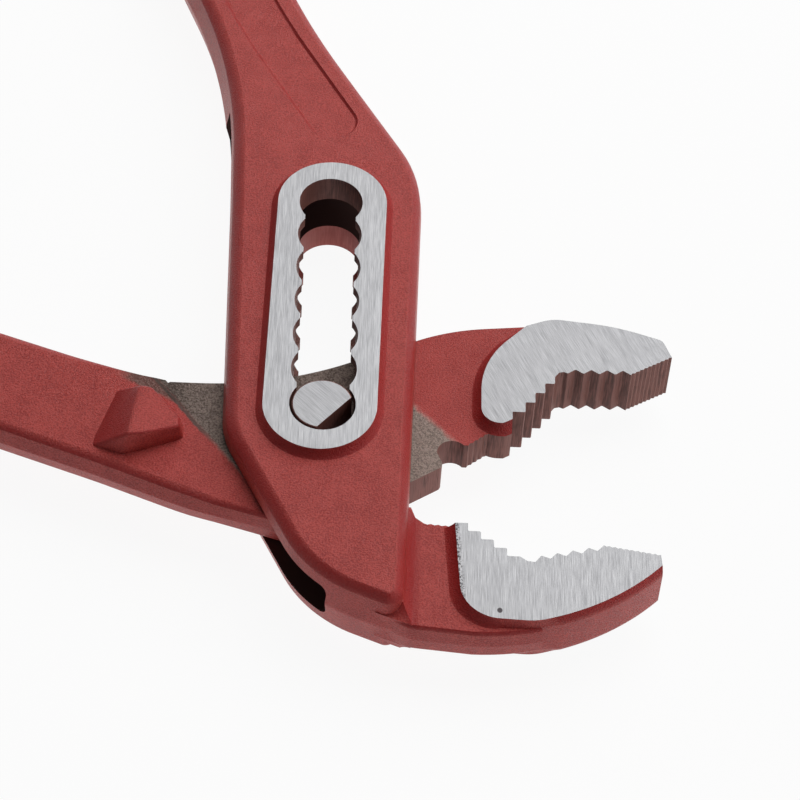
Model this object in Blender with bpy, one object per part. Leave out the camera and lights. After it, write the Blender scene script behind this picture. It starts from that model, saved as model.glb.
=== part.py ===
"""Water pump pliers, 250 mm, with a box joint: box leg, inner leg and pivot pin.

The pliers lie flat. X runs towards the jaws, Y along the slot towards the box leg's handle and Z up.
The origin is on the pivot axis, on the surface that the pliers rest on.
Sizes are in millimetres, about the middle plane of the forgings, and become metres when a mesh is made.
"""
from math import acos, asin, ceil, cos, pi, radians, sin, sqrt, tan

import bmesh
import bpy
import numpy as np

MM = 0.001

# How far a chord may stand off its arc, steps across a rounded edge, and the angle of a crisp edge
ARC_SAG = 0.03
EDGE_STEPS = 4
SHARP_EDGE = radians(32)

# Half thicknesses, from the middle plane of the forgings
BOSS_HALF = 7.1
CHEEK_HALF = 5.8
POCKET_HALF = 2.9
NECK_HALF = 2.45
PAD_HALF = 3.9
RECESS_HALF = 2.6
BOX_HANDLE_HALF = 3.4
INNER_HANDLE_HALF = 3.2
INNER_ROOT_HALF = 2.72

# Pivot pin and the slot that it sits in
PIN_RADIUS = 4.2
PIN_FLAT = 2.1
PIN_FLAT_ANGLE = radians(-40.3)
PIN_CHAMFER = 0.25
PIN_ROUND_HALF = 2.6
FIT = 0.3
SLOT_POSITIONS = 7
SLOT_PITCH = 6.17
SLOT_NECK_HALF = 3.6
SLOT_TOP = (SLOT_POSITIONS - 1) * SLOT_PITCH
BOSS_RADIUS = 7.75
BOSS_SKIRT = 0.95
BOSS_LEAN = (-0.35, 0.2)

# Side of a forging, in shares of its half thickness and of its edge's width:
# a narrow land where the dies part, draft up to the shoulder, then a rounded bevel
EDGE_LAND = 0.04
EDGE_SHOULDER = 0.78
EDGE_DRAFT = 0.4
EDGE_POWER = 1.4
SKIRT_POWER = 1.6

# Pocket between the cheeks: room for the neck to swing at the top of the slot, and its lower wall
POCKET_SWING = 30.0
POCKET_SWING_TO = radians(75)
POCKET_LEFT = (-20.0, 56.5)
POCKET_THROAT = (12.4, -13.5)
POCKET_WINDOW = (0.9, -28.6)
POCKET_ROUND = 1.3
PAST_WINDOW = 20.0

# Box leg: corners (x, y, radius of the corner), and the width of its edges
BOX_HEAD = ((-14.95, 38.0), (-13.85, -3.4, 14.0), (-1.73, -27.1, 19.0), (12.1, -32.6, 2.6), (13.4, 38.0))
BOX_HANDLE_RIGHT = (
    (13.4, 38.0), (13.45, 45.0, 24.0), (-3.1, 74.9, 150.0), (-30.0, 139.4, 500.0), (-57.8, 195.6))
BOX_HANDLE_LEFT = ((-14.95, 38.0), (-16.05, 66.7, 95.0), (-44.05, 133.3, 500.0), (-71.2, 189.1))
BOX_EDGE = 1.65
BOX_EDGE_LEFT = 2.6
BOX_EDGE_RIGHT = 1.9
HANDLE_STATIONS = 36
HANDLE_TAPER_FROM = 48.0
HANDLE_TAPER_LENGTH = 45.0

# Bare panel sunk in the face of the box leg's handle
PANEL_SPINE = ((-0.3, 54.8), (-11.2, 74.8, 150.0), (-31.5, 123.0))
PANEL_RADIUS = 3.7
PANEL_DEPTH = 0.35
PANEL_STATIONS = 10

# Teeth of both jaws
COARSE_TEETH = 4
TOOTH_DEPTH = 0.75
FINE_TEETH = 10
FINE_DEPTH = 0.16
STAIR_STEPS = 4

# Lower jaw, on the box leg
LOWER_TIP = (45.4, -20.6)
LOWER_TIP_FOOT = (45.6, -22.3)
LOWER_FINE_START = (37.9, -19.4)
LOWER_COARSE_START = (29.6, -21.5)
LOWER_HOLLOW = ((28.8, -22.6), (27.7, -22.45))
LOWER_STAIR_START = (26.8, -21.8)
LOWER_STAIR_STEP = (-1.72, 1.28)
LOWER_PAD_BACK = ((18.2, -16.7), (19.25, -31.6, 5.5), (29.0, -32.0, 8.0), (31.5, -31.2))
LOWER_PAD_DRAFT = 1.4
LOWER_PAD_DRAFT_END = 27.5
LOWER_PAD_DRAFT_FADE = 8.0
LOWER_BELLY = 0.7
LOWER_ARC_CENTRE = (20.9, 1.0)
LOWER_ARC_RADIUS = 33.9
LOWER_WEB_RADIUS = 34.7
LOWER_WEB_SOFT = 0.55
LOWER_WEB_TEETH = ((18.0, -16.35), (14.1, -16.05))
LOWER_WEB_THROAT = ((13.0, -15.2), (12.2, -13.0), (7.0, -13.0))
LOWER_WEB_FOOT = ((7.0, -26.0), (8.0, -30.6), (12.3, -32.95, 5.0), (20.9, -33.7))
LOWER_WEB_INSIDE = ((27.0, -28.0), (22.0, -22.5), (19.2, -17.6))
ROOT_HOLLOW = 1.35
ROOT_SKIRT = ((8.0, -30.8), (11.5, -32.1), (11.87, -14.4), (8.0, -11.4))

# Upper jaw and neck, on the inner leg
UPPER_TIP = (48.2, 13.4)
UPPER_FINE_START = (42.4, 9.95)
UPPER_COARSE_START = (33.65, 9.75)
UPPER_HOLLOW = ((31.84, 9.0), (32.4, 9.8), (33.1, 10.0))
UPPER_STAIR_END = (31.84, 7.8)
UPPER_STAIR_STEP = (1.37, 1.74)
UPPER_PAD_HEEL = ((21.7, 11.44, 13.0), (21.7, 0.5, 2.6), (24.7, 0.55), (25.95, 1.3))
UPPER_PAD_TOP = ((47.0, 16.4, 1.2), (40.5, 18.6, 30.0), (31.6, 19.55, 6.0), (28.0, 18.1))
UPPER_PAD_DRAFT = 1.2
PAD_BACK_DRAFT = 0.3
UPPER_WEB_TEETH = ((20.0, -2.5), (24.0, 0.7))
RELIEF_CENTRE = (17.85, -3.9)
RELIEF_RADIUS = 2.1
RELIEF_TO = radians(42)
NECK_FOOT = (
    (-27.0, 3.5), (-27.0, -4.5), (-17.0, -11.2), (-6.0, -14.3), (-2.6, -16.4), (1.5, -16.4, 5.0),
    (16.7, -6.2, 0.9))
NECK_TOP = (
    (24.6, 4.0), (30.0, 18.2), (27.8, 19.05), (17.1, 17.8, 30.0), (-6.25, 6.5, 48.0), (-21.0, 6.45),
    (-23.5, 5.0))

# Handle of the inner leg: its root, which eases into the neck below the slope's end, then its two edges
INNER_ROOT = ((-3.0, -17.1), (-12.6, -6.4, 3.0), (-21.2, 4.4, 2.0), (-21.5, 6.55))
INNER_ROOT_SLOPE_END = -3.5
INNER_ROOT_SLOPE = 3.0
INNER_ROOT_EDGE = 0.12
INNER_HANDLE_TOP = ((-21.5, 6.55), (-24.4, 7.4, 14.0), (-105.0, 35.5, 500.0), (-189.0, 66.9))
INNER_HANDLE_FOOT = (
    (-3.0, -17.1), (-17.1, -13.5, 60.0), (-30.1, -8.3, 60.0), (-109.95, 20.8, 500.0), (-194.25, 53.0))
INNER_EDGE = 1.6
INNER_CRISP_STATIONS = 3

# Finger guard: corners of its foot, inside the handle, and of its top (x, y, height)
GUARD_FOOT_HALF = 2.0
GUARD_FOOT = (
    (-28.7, 4.8), (-23.0, 4.2), (-18.5, -1.5), (-18.5, -3.4), (-23.2, -5.6), (-26.8, -6.9), (-31.8, -5.4))
GUARD_TOP = (
    (-24.85, 2.5, 6.3), (-23.3, 2.6, 6.1), (-19.2, -1.6, 5.1),
    (-19.0, -3.2, 5.0), (-23.2, -5.3, 6.0), (-25.8, -5.9, 6.3))
GUARD_BEVEL = 0.35

RED_COAT = (0.34, 0.062, 0.058, 1.0)
GROUND_STEEL = (0.62, 0.62, 0.63, 1.0)


def unit(vector):
    return vector / np.linalg.norm(vector)


def arc(centre, radius, start, end):
    """Points along an arc, from one angle to another."""
    step = 2 * acos(1 - ARC_SAG / radius)
    angles = np.linspace(start, end, max(2, ceil(abs(end - start) / step)) + 1)
    return np.column_stack((centre[0] + radius * np.cos(angles), centre[1] + radius * np.sin(angles)))


def rounded(corners):
    """A path through corners (x, y) or (x, y, radius): an inner corner with a radius becomes an arc."""
    path = []
    for i, corner in enumerate(corners):
        here = np.array(corner[:2])
        if len(corner) < 3:
            path.append(here[None])
            continue
        before = unit(np.array(corners[i - 1][:2]) - here)
        after = unit(np.array(corners[i + 1][:2]) - here)
        turn = pi - acos(before @ after)
        centre = here + unit(before + after) * corner[2] / cos(turn / 2)
        first = here + before * corner[2] * tan(turn / 2) - centre
        start = np.arctan2(first[1], first[0])
        side = np.sign(after[0] * before[1] - after[1] * before[0])
        path.append(arc(centre, corner[2], start, start + side * turn))
    return np.vstack(path)


def stations(path, count):
    """Evenly spaced points along a path."""
    run = np.concatenate(([0.0], np.cumsum(np.linalg.norm(np.diff(path, axis=0), axis=1))))
    at = np.linspace(0.0, run[-1], count)
    return np.column_stack((np.interp(at, run, path[:, 0]), np.interp(at, run, path[:, 1])))


def zigzag(start, end, teeth, depth):
    """Points after start, up to end: triangular teeth whose valleys go in to the left of the way."""
    start, way = np.array(start), (np.array(end) - start) / teeth
    left = unit(np.array((-way[1], way[0]))) * depth
    at = np.arange(1, 2 * teeth + 1)[:, None] / 2
    return start + way * at + left * (at % 1 > 0)


def stair(start, step, steps, rise_first):
    """Square steps from start: each goes along one axis, then along the other."""
    tips = np.array(start) + np.arange(steps + 1)[:, None] * np.array(step)
    x, y = (tips[:-1, 0], tips[1:, 1]) if rise_first else (tips[1:, 0], tips[:-1, 1])
    return np.stack((np.column_stack((x, y)), tips[1:]), axis=1).reshape(-1, 2)


def round_end(first, last):
    """The half circle between the ends of two edges, without its end points."""
    centre, spoke = (first + last) / 2, (first - last) / 2
    start = np.arctan2(spoke[1], spoke[0])
    return arc(centre, np.linalg.norm(spoke), start, start + pi)[1:-1]


def drawn_in(outline, insets):
    """Moves of the points when side i, from point i to the next, goes into the material by insets[..., i].

    At a corner the move meets both moved sides; along a smooth run it is the mean normal.
    """
    along = np.roll(outline, -1, axis=0) - outline
    along /= np.linalg.norm(along, axis=1)[:, None]
    after = np.column_stack((-along[:, 1], along[:, 0]))
    before = np.roll(after, 1, axis=0)
    after_in, before_in = insets[..., None], np.roll(insets, 1, axis=-1)[..., None]
    cross = (before[:, 0] * after[:, 1] - before[:, 1] * after[:, 0])[:, None]
    straight = np.abs(cross) < 0.5
    corner = before_in * after[:, ::-1] * (1, -1) - after_in * before[:, ::-1] * (1, -1)
    smooth = (before + after) * (before_in + after_in) / 4
    return np.where(straight, smooth, corner / np.where(straight, 1.0, cross))


def mirrored(heights, insets):
    """The upper half of a side, given from the middle up, with its mirror image below."""
    return np.concatenate((-heights[::-1], heights)), np.concatenate((insets[::-1], insets))[:, None]


def forged_side():
    """Heights and insets, both from 0 to 1: land, draft and bevel."""
    swing = np.linspace(0.0, pi / 2, EDGE_STEPS + 1)
    bevel_heights = EDGE_SHOULDER + (1 - EDGE_SHOULDER) * np.sin(swing) ** EDGE_POWER
    heights = np.concatenate(([EDGE_LAND], bevel_heights))
    bevel = np.concatenate(([0.0], 1 - np.cos(swing) ** EDGE_POWER))
    draft = (heights - EDGE_LAND) / (1 - EDGE_LAND)
    return mirrored(heights, EDGE_DRAFT * draft + (1 - EDGE_DRAFT) * bevel)


def hollow_side(foot, top):
    """A wall from the face at foot up to top that spreads out, hollow, towards its foot."""
    swing = np.linspace(radians(88), 0.0, EDGE_STEPS + 1)
    heights = np.concatenate(([foot * 0.8], foot + (top - foot) * (1 - np.sin(swing) ** SKIRT_POWER)))
    spread = 1 - np.cos(swing) ** SKIRT_POWER
    return mirrored(heights, -np.concatenate((spread[:1], spread)))


def round_side(half, radius):
    """An upright wall up to half, with edges of the given radius."""
    swing = np.linspace(0.0, pi / 2, EDGE_STEPS + 1)
    return mirrored(half - radius * (1 - np.sin(swing)), radius * (1 - np.cos(swing)))


def new_object(name, points, faces):
    mesh = bpy.data.meshes.new(name)
    mesh.from_pydata((points * MM).tolist(), [], faces)
    thing = bpy.data.objects.new(name, mesh)
    bpy.context.scene.collection.objects.link(thing)
    return thing


def skin(name, rings, loops=None):
    """A solid whose side runs through closed rings (rings by points by 3), closed at both ends by loops."""
    levels, count = rings.shape[:2]
    ring, after = np.arange(count), np.roll(np.arange(count), -1)
    low = (np.arange(levels - 1) * count)[:, None]
    sides = np.stack((low + ring, low + after, low + count + after, low + count + ring), axis=2)
    loops, top = loops or [ring.tolist()], (levels - 1) * count
    ends = [[top + i for i in loop] for loop in loops] + [loop[::-1] for loop in loops]
    return new_object(name, rings.reshape(-1, 3), sides.reshape(-1, 4).tolist() + ends)


def stack(name, outline, heights, insets=0.0, half=1.0, loops=None):
    """A solid of one outline repeated at several heights, its sides drawn in by insets (heights by sides).

    Heights are in shares of half, which may differ from point to point.
    loops splits the two ends into loops of point numbers.
    """
    heights, count = np.asarray(heights, float), len(outline)
    plan = outline + drawn_in(outline, np.broadcast_to(insets, (len(heights), count)).astype(float))
    z = heights[:, None] * np.broadcast_to(half, count)
    return skin(name, np.concatenate((plan, z[..., None]), axis=2), loops)


def combine(piece, other, operation):
    """Join other to the piece, or cut it away, and keep other as a hidden guide."""
    other.hide_render = True
    other.display_type = 'WIRE'
    modifier = piece.modifiers.new(other.name, 'BOOLEAN')
    modifier.operation = operation
    modifier.object = other
    modifier.solver = 'EXACT'


def finish(piece, parent, colour, metallic, roughness):
    """Give a piece its material, smooth shading and place."""
    material = bpy.data.materials.new(piece.name)
    material.use_nodes = True
    shader = material.node_tree.nodes['Principled BSDF']
    shader.inputs['Base Color'].default_value = colour
    shader.inputs['Metallic'].default_value = metallic
    shader.inputs['Roughness'].default_value = roughness
    piece.data.materials.append(material)
    piece.data.shade_smooth()
    piece.data.set_sharp_from_angle(angle=SHARP_EDGE)
    piece.parent = parent
    for modifier in piece.modifiers:
        modifier.object.parent = parent


def strip_loops(root, edge, end):
    """Loops that split the face of a leg: its root, one strip between each pair of stations, its round end.

    The points run round the root, out along one edge, round the end and back along the other edge.
    """
    last = root + 2 * edge + end - 1
    loops = [list(range(root)) + [root, last]]
    loops += [[root + i, root + i + 1, last - i - 1, last - i] for i in range(edge - 1)]
    return loops + [[root + edge - 1 + i for i in range(end + 2)]]


def leg_outline(root, edge_out, edge_back):
    """The outline of a leg, counter-clockwise, with the loops that split its face."""
    out = stations(rounded(edge_out), HANDLE_STATIONS)
    back = stations(rounded(edge_back), HANDLE_STATIONS)
    end = round_end(out[-1], back[-1])
    root = rounded(root)[1:-1]
    return np.vstack((root, out, end, back[::-1])), strip_loops(len(root), HANDLE_STATIONS, len(end))


def box_half(y):
    """Half thickness of the box leg: full in the box, then thinning towards the handle's end."""
    past = np.maximum(y - HANDLE_TAPER_FROM, 0.0)
    return BOX_HANDLE_HALF + (CHEEK_HALF - BOX_HANDLE_HALF) * np.exp(-past / HANDLE_TAPER_LENGTH)


def box_edge(outline):
    """Width of the box leg's edge along each side: broad on the left, narrow on the right."""
    along = np.roll(outline, -1, axis=0) - outline
    right = along[:, 1] / np.linalg.norm(along, axis=1)
    left_share, right_share = np.maximum(-right, 0.0) ** 2, np.maximum(right, 0.0)
    return BOX_EDGE + (BOX_EDGE_LEFT - BOX_EDGE) * left_share + (BOX_EDGE_RIGHT - BOX_EDGE) * right_share


def slot_outline():
    """A straight slot with a round seat for the pin at each position."""
    radius = PIN_RADIUS + FIT
    reach = asin(sqrt(radius ** 2 - SLOT_NECK_HALF ** 2) / radius)
    right, left = [], []
    for position in range(SLOT_POSITIONS):
        seat = (0.0, position * SLOT_PITCH)
        first = -pi / 2 if position == 0 else -reach
        last = pi / 2 if position == SLOT_POSITIONS - 1 else reach
        right.append(arc(seat, radius, first, last))
        left.append(arc(seat, radius, pi - last, pi - first))
    left[0], left[-1] = left[0][:-1], left[-1][1:]
    return np.vstack(right + left[::-1])


def boss():
    """Ground boss round the slot, on both faces of the box, with a hollow skirt."""
    low = arc((BOSS_LEAN[0], 0.0), BOSS_RADIUS, -pi, 0.0)
    high = arc((BOSS_LEAN[1], SLOT_TOP), BOSS_RADIUS, 0.0, pi)
    heights, insets = hollow_side(CHEEK_HALF, BOSS_HALF)
    return stack('boss', np.vstack((low, high)), heights, insets * BOSS_SKIRT)


def pocket():
    """Room between the cheeks: an arc and a slant at the handle, open sides, a slope at the jaw's root."""
    top = arc((0.0, SLOT_TOP), POCKET_SWING, 0.0, POCKET_SWING_TO)
    throat, window = np.array(POCKET_THROAT), np.array(POCKET_WINDOW)
    past = window + unit(window - throat) * PAST_WINDOW
    left, right = (-POCKET_SWING, past[1]), (POCKET_SWING, throat[1])
    outline = np.vstack((top, POCKET_LEFT, left, past, throat, right))
    on_slope = np.arange(len(outline)) == len(top) + 2
    heights, insets = round_side(POCKET_HALF, POCKET_ROUND)
    return stack('pocket_cutter', outline, heights, insets * on_slope)


def panel():
    """Cutter for the bare panel: a long round-ended recess that follows the handle's sloping face."""
    spine = stations(rounded(PANEL_SPINE), PANEL_STATIONS)
    way = np.gradient(spine, axis=0)
    way /= np.linalg.norm(way, axis=1)[:, None]
    aside = np.column_stack((way[:, 1], -way[:, 0])) * PANEL_RADIUS
    right, left = spine + aside, spine - aside
    tail, head = round_end(left[0], right[0]), round_end(right[-1], left[-1])
    outline = np.vstack((tail, right, head, left[::-1]))
    floor = box_half(outline[:, 1]) - PANEL_DEPTH
    loops = strip_loops(len(tail), PANEL_STATIONS, len(head))
    return stack('panel_cutter', outline, (1.0, 2.0), 0.0, floor, loops)


def lower_pad():
    """Ground part of the lower jaw: fine teeth, coarse teeth and steps, a hollow heel and a round belly."""
    foot = np.array(LOWER_TIP_FOOT) - LOWER_ARC_CENTRE
    join = np.array(LOWER_PAD_BACK[-1]) - LOWER_ARC_CENTRE
    belly = arc(LOWER_ARC_CENTRE, LOWER_ARC_RADIUS, np.arctan2(join[1], join[0]), np.arctan2(foot[1], foot[0]))
    teeth = np.vstack((
        [LOWER_TIP],
        zigzag(LOWER_TIP, LOWER_FINE_START, FINE_TEETH, FINE_DEPTH),
        zigzag(LOWER_FINE_START, LOWER_COARSE_START, COARSE_TEETH, TOOTH_DEPTH),
        LOWER_HOLLOW, [LOWER_STAIR_START],
        stair(LOWER_STAIR_START, LOWER_STAIR_STEP, STAIR_STEPS, rise_first=False)))
    heel = rounded(LOWER_PAD_BACK)
    outline = np.vstack((teeth, heel, belly[1:]))
    middle = (outline[:, 0] + np.roll(outline[:, 0], -1)) / 2
    fade = np.clip((LOWER_PAD_DRAFT_END - middle) / LOWER_PAD_DRAFT_FADE, 0.0, 1.0)
    side = np.arange(len(outline)) - len(teeth)
    at_heel = (side >= 0) & (side < len(heel) - 1)
    at_belly = (side >= len(heel) - 1) & (side < len(heel) + len(belly) - 2)
    heights, hollow = hollow_side(RECESS_HALF, PAD_HALF)
    rise = np.clip((np.abs(heights) - RECESS_HALF) / (PAD_HALF - RECESS_HALF), 0.0, 1.0)
    swell = (rise ** 2 - 1)[:, None] * LOWER_BELLY
    draft = PAD_BACK_DRAFT + (LOWER_PAD_DRAFT - PAD_BACK_DRAFT) * fade
    return stack('lower_pad', outline, heights, hollow * draft * at_heel + swell * at_belly)


def lower_web():
    """Root of the lower jaw: the recess between the box and the ground pad, with fine teeth."""
    belly = arc(LOWER_ARC_CENTRE, LOWER_WEB_RADIUS, radians(-90), radians(-75))
    foot = np.vstack((rounded(LOWER_WEB_FOOT)[:-1], belly))
    teeth = zigzag(LOWER_WEB_TEETH[0], LOWER_WEB_TEETH[1], STAIR_STEPS, FINE_DEPTH)
    outline = np.vstack((foot, LOWER_WEB_INSIDE, [LOWER_WEB_TEETH[0]], teeth, LOWER_WEB_THROAT))
    soft = np.zeros(len(outline))
    soft[1:len(foot) - 1] = LOWER_WEB_SOFT
    heights, insets = forged_side()
    return stack('lower_web', outline, heights, insets * soft, RECESS_HALF)


def root_skirt():
    """Hollow between the box's right side and the web, on both faces, cut off at the web's two edges."""
    heights, insets = hollow_side(RECESS_HALF, RECESS_HALF + ROOT_HOLLOW)
    on_right = np.arange(len(ROOT_SKIRT)) == 1
    return stack('root_skirt', np.array(ROOT_SKIRT), heights, insets * on_right * ROOT_HOLLOW)


def make_box_leg():
    outline, loops = leg_outline(BOX_HEAD, BOX_HANDLE_RIGHT, BOX_HANDLE_LEFT)
    heights, insets = forged_side()
    leg = stack('box_leg', outline, heights, insets * box_edge(outline), box_half(outline[:, 1]), loops)
    for other in (boss(), lower_web(), lower_pad(), root_skirt()):
        combine(leg, other, 'UNION')
    slot = stack('slot_cutter', slot_outline(), (-2 * BOSS_HALF, 2 * BOSS_HALF))
    for other in (pocket(), slot, panel()):
        combine(leg, other, 'DIFFERENCE')
    return leg


def upper_pad():
    """Ground part of the upper jaw: steps, coarse teeth and fine teeth, on a heel with a hollow foot."""
    heel = rounded((UPPER_PAD_TOP[-1],) + UPPER_PAD_HEEL)[1:]
    first_step = np.array(UPPER_STAIR_END) - np.array(UPPER_STAIR_STEP) * STAIR_STEPS
    steps = stair(first_step, UPPER_STAIR_STEP, STAIR_STEPS, rise_first=True)
    steps[0, 0] = heel[-1, 0]
    crown = rounded((UPPER_TIP,) + UPPER_PAD_TOP)[1:]
    outline = np.vstack((
        heel, steps, UPPER_HOLLOW, [UPPER_COARSE_START],
        zigzag(UPPER_COARSE_START, UPPER_FINE_START, COARSE_TEETH, TOOTH_DEPTH),
        zigzag(UPPER_FINE_START, UPPER_TIP, FINE_TEETH, FINE_DEPTH),
        crown))
    draft = np.zeros(len(outline))
    draft[-len(crown):] = PAD_BACK_DRAFT
    draft[:len(heel) - 1] = UPPER_PAD_DRAFT
    draft[-1] = UPPER_PAD_DRAFT
    heights, insets = hollow_side(NECK_HALF, PAD_HALF)
    return stack('upper_pad', outline, heights, insets * draft)


def neck():
    """The thin plate of the inner leg: jaw root with fine teeth, relief, lug and the run to the handle."""
    relief = arc(RELIEF_CENTRE, RELIEF_RADIUS, pi, RELIEF_TO)
    teeth = zigzag(UPPER_WEB_TEETH[0], UPPER_WEB_TEETH[1], STAIR_STEPS + 2, FINE_DEPTH)
    foot = rounded(NECK_FOOT + (tuple(relief[0]),))[:-1]
    outline = np.vstack((foot, relief, [UPPER_WEB_TEETH[0]], teeth, rounded(NECK_TOP)))
    return stack('inner_leg', outline, (-NECK_HALF, NECK_HALF))


def inner_handle():
    """Handle of the inner leg: a step up from the neck beside the box, easing into it lower down."""
    outline, loops = leg_outline(INNER_ROOT, INNER_HANDLE_TOP, INNER_HANDLE_FOOT)
    reach = outline[:, 0].max() - outline[:, 0]
    half = INNER_ROOT_HALF + (INNER_HANDLE_HALF - INNER_ROOT_HALF) * reach / reach.max()
    easing = np.clip((INNER_ROOT_SLOPE_END - outline[:, 1]) / INNER_ROOT_SLOPE, 0.0, 1.0)
    easing *= np.clip((outline[:, 0] - INNER_HANDLE_FOOT[1][0]) / INNER_ROOT_SLOPE, 0.0, 1.0)
    half += (NECK_HALF + 0.01 - half) * easing
    side = np.arange(len(outline))
    from_root = np.minimum(side - loops[0][-2], len(outline) - 1 - side)
    crisp = np.clip(1 - from_root / INNER_CRISP_STATIONS, 0.0, 1.0)
    edge = INNER_EDGE + (INNER_ROOT_EDGE - INNER_EDGE) * crisp
    heights, insets = forged_side()
    return stack('inner_handle', outline, heights, insets * edge, half, loops)


def guard():
    """Finger guard: a wedge on both faces of the handle, highest at its ridge, with softened edges."""
    foot = np.array([(x, y, GUARD_FOOT_HALF) for x, y in GUARD_FOOT])
    upper = np.vstack((foot, GUARD_TOP))
    thing = new_object('guard', np.vstack((upper, upper * (1, 1, -1))), [])
    form = bmesh.new()
    form.from_mesh(thing.data)
    bmesh.ops.convex_hull(form, input=form.verts)
    bmesh.ops.dissolve_limit(form, angle_limit=radians(2), verts=form.verts, edges=form.edges)
    bmesh.ops.recalc_face_normals(form, faces=form.faces)
    bmesh.ops.bevel(form, geom=form.edges, offset=GUARD_BEVEL * MM, segments=2, profile=0.5, affect='EDGES')
    form.to_mesh(thing.data)
    form.free()
    return thing


def make_inner_leg():
    leg = neck()
    for other in (inner_handle(), guard(), upper_pad()):
        combine(leg, other, 'UNION')
    bore = arc((0.0, 0.0), PIN_RADIUS + FIT, 0.0, 2 * pi)[:-1]
    combine(leg, stack('bore_cutter', bore, (-BOSS_HALF, BOSS_HALF)), 'DIFFERENCE')
    return leg


def make_pivot_pin():
    """A round pin, flush with the boss at both ends, with a flat where it runs in the slot."""
    circle = arc((0.0, 0.0), PIN_RADIUS, 0.0, 2 * pi)[:-1]
    heights, insets = round_side(BOSS_HALF, PIN_CHAMFER)
    pin = stack('pivot_pin', circle, heights, insets)
    out = np.array((cos(PIN_FLAT_ANGLE), sin(PIN_FLAT_ANGLE)))
    side = np.array((-out[1], out[0])) * 2 * PIN_RADIUS
    near, far = out * PIN_FLAT, out * 2 * PIN_RADIUS
    square = np.array((near - side, far - side, far + side, near + side))
    combine(pin, stack('flat_above', square, (PIN_ROUND_HALF, 2 * BOSS_HALF)), 'DIFFERENCE')
    combine(pin, stack('flat_below', square, (-2 * BOSS_HALF, -PIN_ROUND_HALF)), 'DIFFERENCE')
    return pin


def axis(name, parent=None):
    """An empty on the pivot axis: the pin slides along its Y, and the inner leg turns about its Z."""
    empty = bpy.data.objects.new(name, None)
    bpy.context.scene.collection.objects.link(empty)
    empty.parent = parent
    return empty


def main():
    for thing in list(bpy.data.objects):
        bpy.data.objects.remove(thing)
    pliers = axis('pliers')
    pliers.location.z = BOSS_HALF * MM
    slide = axis('slide_axis', pliers)
    hinge = axis('hinge_axis', slide)
    finish(make_box_leg(), pliers, RED_COAT, metallic=0.0, roughness=0.5)
    finish(make_pivot_pin(), slide, GROUND_STEEL, metallic=1.0, roughness=0.35)
    finish(make_inner_leg(), hinge, RED_COAT, metallic=0.0, roughness=0.5)


main()
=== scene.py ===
"""Box-joint water pump pliers: forged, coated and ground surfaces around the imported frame.

The pliers lie flat, with X towards the jaws, Y along the slot and Z up.
Shapes are worked out in millimetres about the middle plane of the forgings and written in metres.
"""

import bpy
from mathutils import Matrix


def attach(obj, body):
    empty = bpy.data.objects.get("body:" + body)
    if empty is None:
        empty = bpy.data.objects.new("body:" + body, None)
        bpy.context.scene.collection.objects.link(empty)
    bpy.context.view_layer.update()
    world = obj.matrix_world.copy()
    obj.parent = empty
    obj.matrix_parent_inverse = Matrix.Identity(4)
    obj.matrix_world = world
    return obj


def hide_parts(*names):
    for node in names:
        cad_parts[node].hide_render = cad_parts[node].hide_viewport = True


bl_info = {
    "name": "Water Pump Pliers",
    "version": (1, 0, 0),
    "blender": (4, 5, 0),
    "location": "View3D > Sidebar > Pliers",
    "description": "Surfaces, finishes and studio for box-joint water pump pliers",
    "category": "Object",
}

from math import acos, asin, ceil, cos, pi, radians, sin, sqrt, tan
from types import SimpleNamespace

import bmesh
import bpy
import numpy as np
from bpy.props import FloatProperty, FloatVectorProperty, IntProperty, PointerProperty
from mathutils import Matrix, Vector

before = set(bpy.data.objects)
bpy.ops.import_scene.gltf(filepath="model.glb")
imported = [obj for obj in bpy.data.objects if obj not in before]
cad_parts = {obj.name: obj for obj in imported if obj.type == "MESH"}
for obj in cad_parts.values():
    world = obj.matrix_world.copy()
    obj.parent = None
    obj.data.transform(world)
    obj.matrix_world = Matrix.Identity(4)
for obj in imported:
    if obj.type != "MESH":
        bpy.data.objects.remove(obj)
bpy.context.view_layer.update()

MM = 0.001

# How far a chord may stand off its arc, and the angle above which an edge is left crisp
ARC_SAG = 0.004
CRISP_EDGE = radians(31)
EDGE_STEPS = 9
SKIRT_STEPS = 8

# Side of a forging, in shares of its half thickness and of its edge's width:
# a narrow land where the dies part, draft up to the shoulder, then a rounded bevel
EDGE_LAND = 0.04
EDGE_SHOULDER = 0.78
EDGE_DRAFT = 0.4
EDGE_POWER = 1.4
SKIRT_POWER = 1.6
SKIRT_SWING = radians(88)
SKIRT_SUNK = 0.8

# Sine of the turn above which two sides meet in a corner, and the gap in metres that is welded
CORNER_SINE = 0.5
WELD = 2e-7

# Box leg, corners (x, y, radius of the corner)
BOX_HEAD = ((-14.95, 38.0), (-13.85, -3.4, 14.0), (-1.73, -27.1, 19.0), (12.1, -32.6, 2.6), (13.4, 38.0))
BOX_HANDLE_RIGHT = (
    (13.4, 38.0), (13.45, 45.0, 24.0), (-3.1, 74.9, 150.0), (-30.0, 139.4, 500.0), (-57.8, 195.6))
BOX_HANDLE_LEFT = ((-14.95, 38.0), (-16.05, 66.7, 95.0), (-44.05, 133.3, 500.0), (-71.2, 189.1))
BOX_EDGE = 1.65
BOX_EDGE_LEFT = 2.6
BOX_EDGE_RIGHT = 1.9
HANDLE_STATIONS = 110
HANDLE_TAPER_FROM = 48.0
HANDLE_TAPER_LENGTH = 45.0
BOSS_LEAN = (-0.35, 0.2)

# Pocket between the cheeks
POCKET_SWING = 30.0
POCKET_SWING_TO = radians(75)
POCKET_LEFT = (-20.0, 56.5)
POCKET_THROAT = (12.4, -13.5)
POCKET_WINDOW = (0.9, -28.6)
POCKET_ROUND = 1.3
PAST_WINDOW = 20.0

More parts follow.
